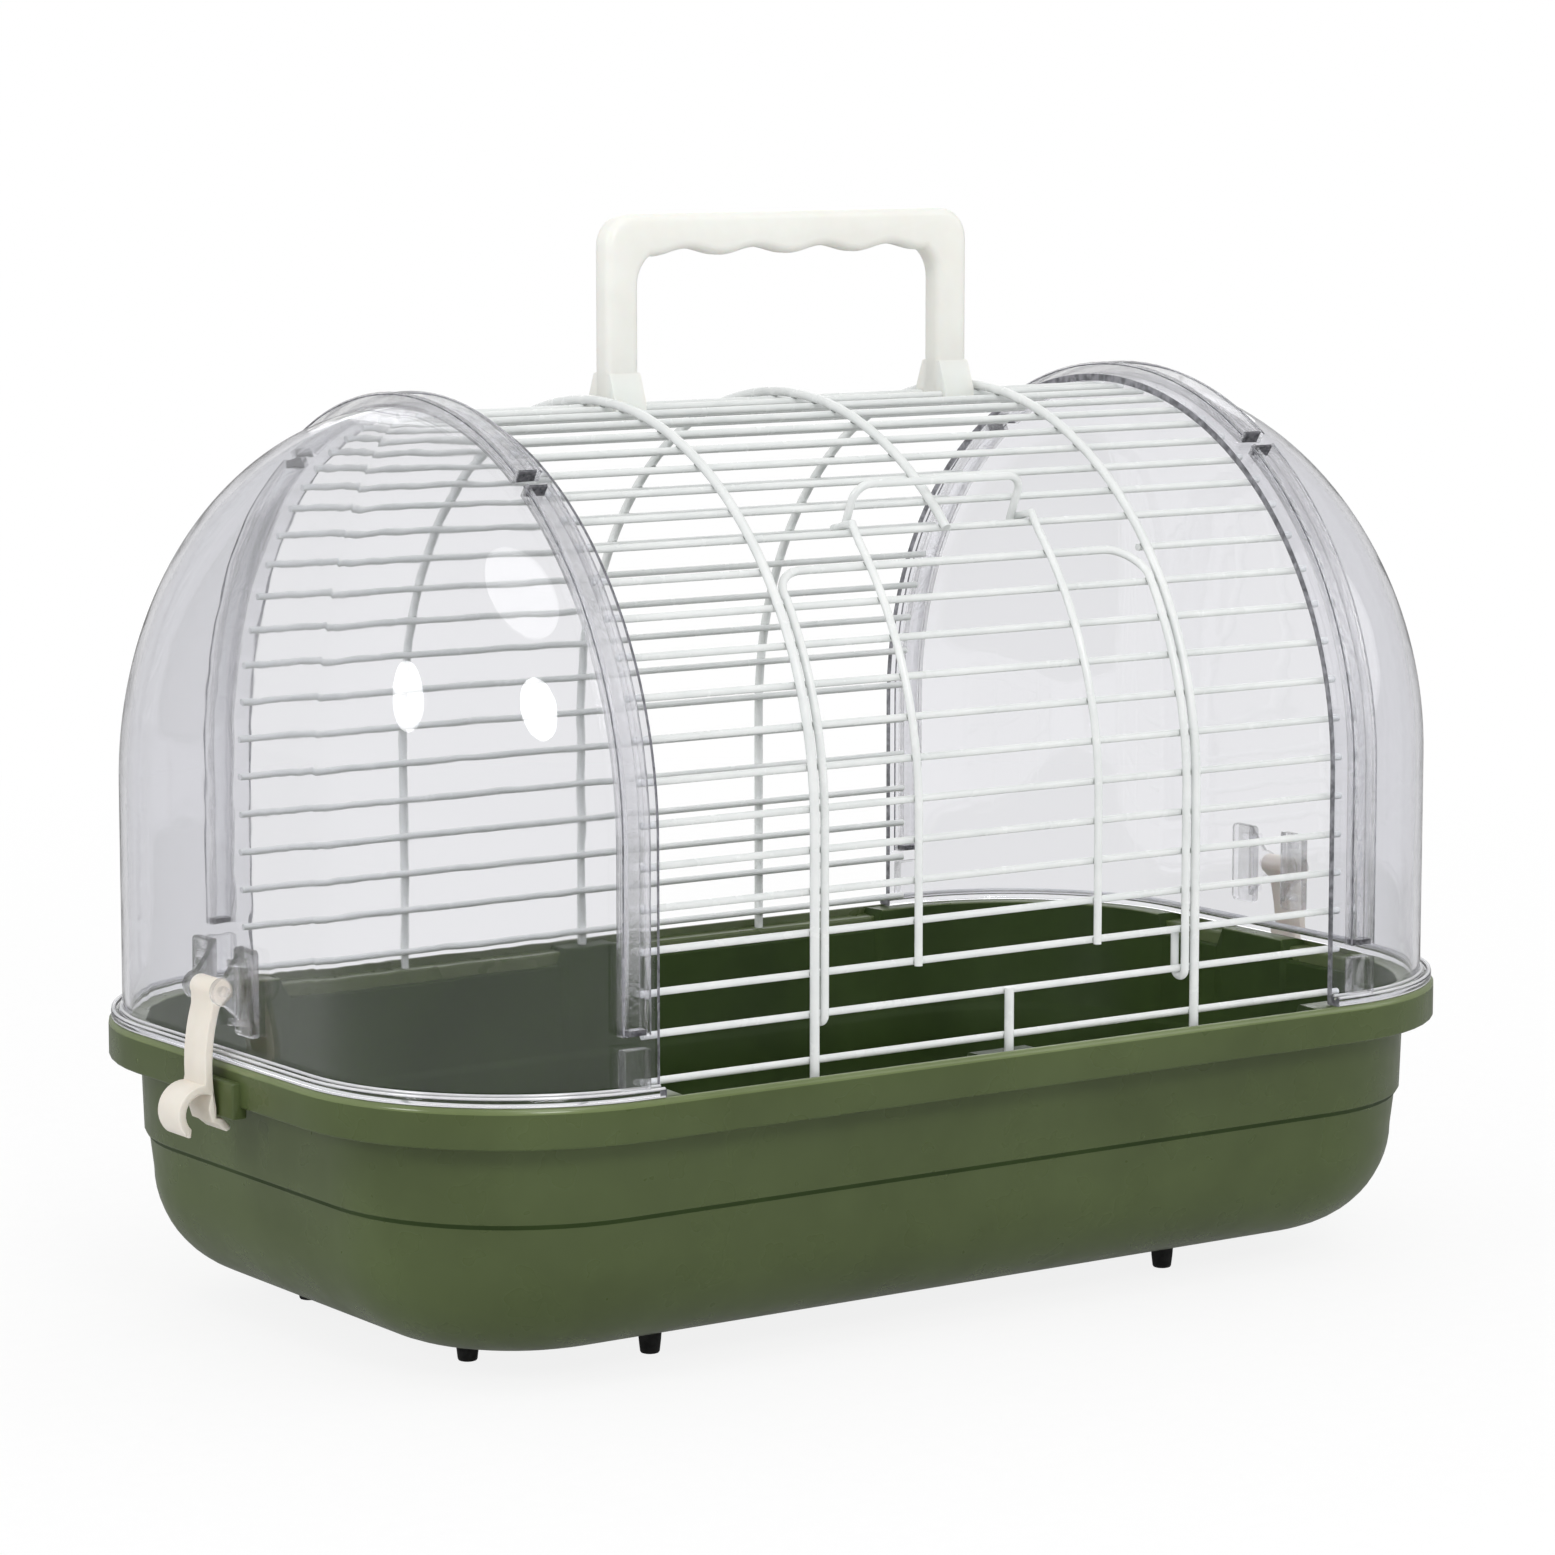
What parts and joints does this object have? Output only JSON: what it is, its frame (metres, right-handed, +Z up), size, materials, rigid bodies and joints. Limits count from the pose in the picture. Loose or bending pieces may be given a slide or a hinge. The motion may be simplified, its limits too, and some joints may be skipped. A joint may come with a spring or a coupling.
{
  "type": "bird travel carrier",
  "caption": "Small bird travel carrier: moulded tray, white wire cage with a drop-down front door, clear domed ends held by over-centre latches, and a carrying handle on the ridge.",
  "frame": {"origin": "on the table, under the centre of the whole part", "axes": "+X along the carrier to the right, +Y from the front (door) to the back, +Z up"},
  "size_m": [0.4018, 0.224, 0.3053],
  "materials": {
    "tray_green": "satin olive green injection moulding",
    "feet_black": "matt black",
    "clear_plastic": "clear polished",
    "latch_cream": "satin cream",
    "wire_white": "gloss white coating on steel wire",
    "handle_white": "gloss warm white"
  },
  "bodies": {
    "carrier": {"tray": "tray_green", "feet": "feet_black", "dome_left": "clear_plastic", "dome_right": "clear_plastic", "dome_edge_left": "clear_plastic", "dome_edge_right": "clear_plastic", "latch_ears_left": "clear_plastic", "latch_ears_right": "clear_plastic", "latch_pin_left": "clear_plastic", "latch_pin_right": "clear_plastic", "rib_left": "wire_white", "rib_middle": "wire_white", "rib_right": "wire_white", "sill_stub": "wire_white", "sill_wire": "wire_white", "hinge_wire": "wire_white", "header_wire": "wire_white", "front_wires_left": "wire_white", "front_wires_right": "wire_white", "roof_wires": "wire_white", "rear_wires": "wire_white", "handle": "handle_white"},
    "door": {"door_frame": "wire_white", "door_uprights": "wire_white", "door_bars": "wire_white", "door_bail": "wire_white"},
    "latch_left": {"latch_left": "latch_cream"},
    "latch_right": {"latch_right": "latch_cream"}
  },
  "joints": [
    {"name": "door_hinge", "type": "hinge", "parent": "carrier", "child": "door", "pos_m": [0, -0.10465, 0.0967], "axis": [1, 0, 0], "range_deg": [0, 140]},
    {"name": "latch_left_swing", "type": "hinge", "parent": "carrier", "child": "latch_left", "pos_m": [-0.1875, 0, 0.101], "axis": [0, 1, 0], "range_deg": [0, 110]},
    {"name": "latch_right_swing", "type": "hinge", "parent": "carrier", "child": "latch_right", "pos_m": [0.1875, 0, 0.101], "axis": [0, -1, 0], "range_deg": [0, 110]}
  ]
}
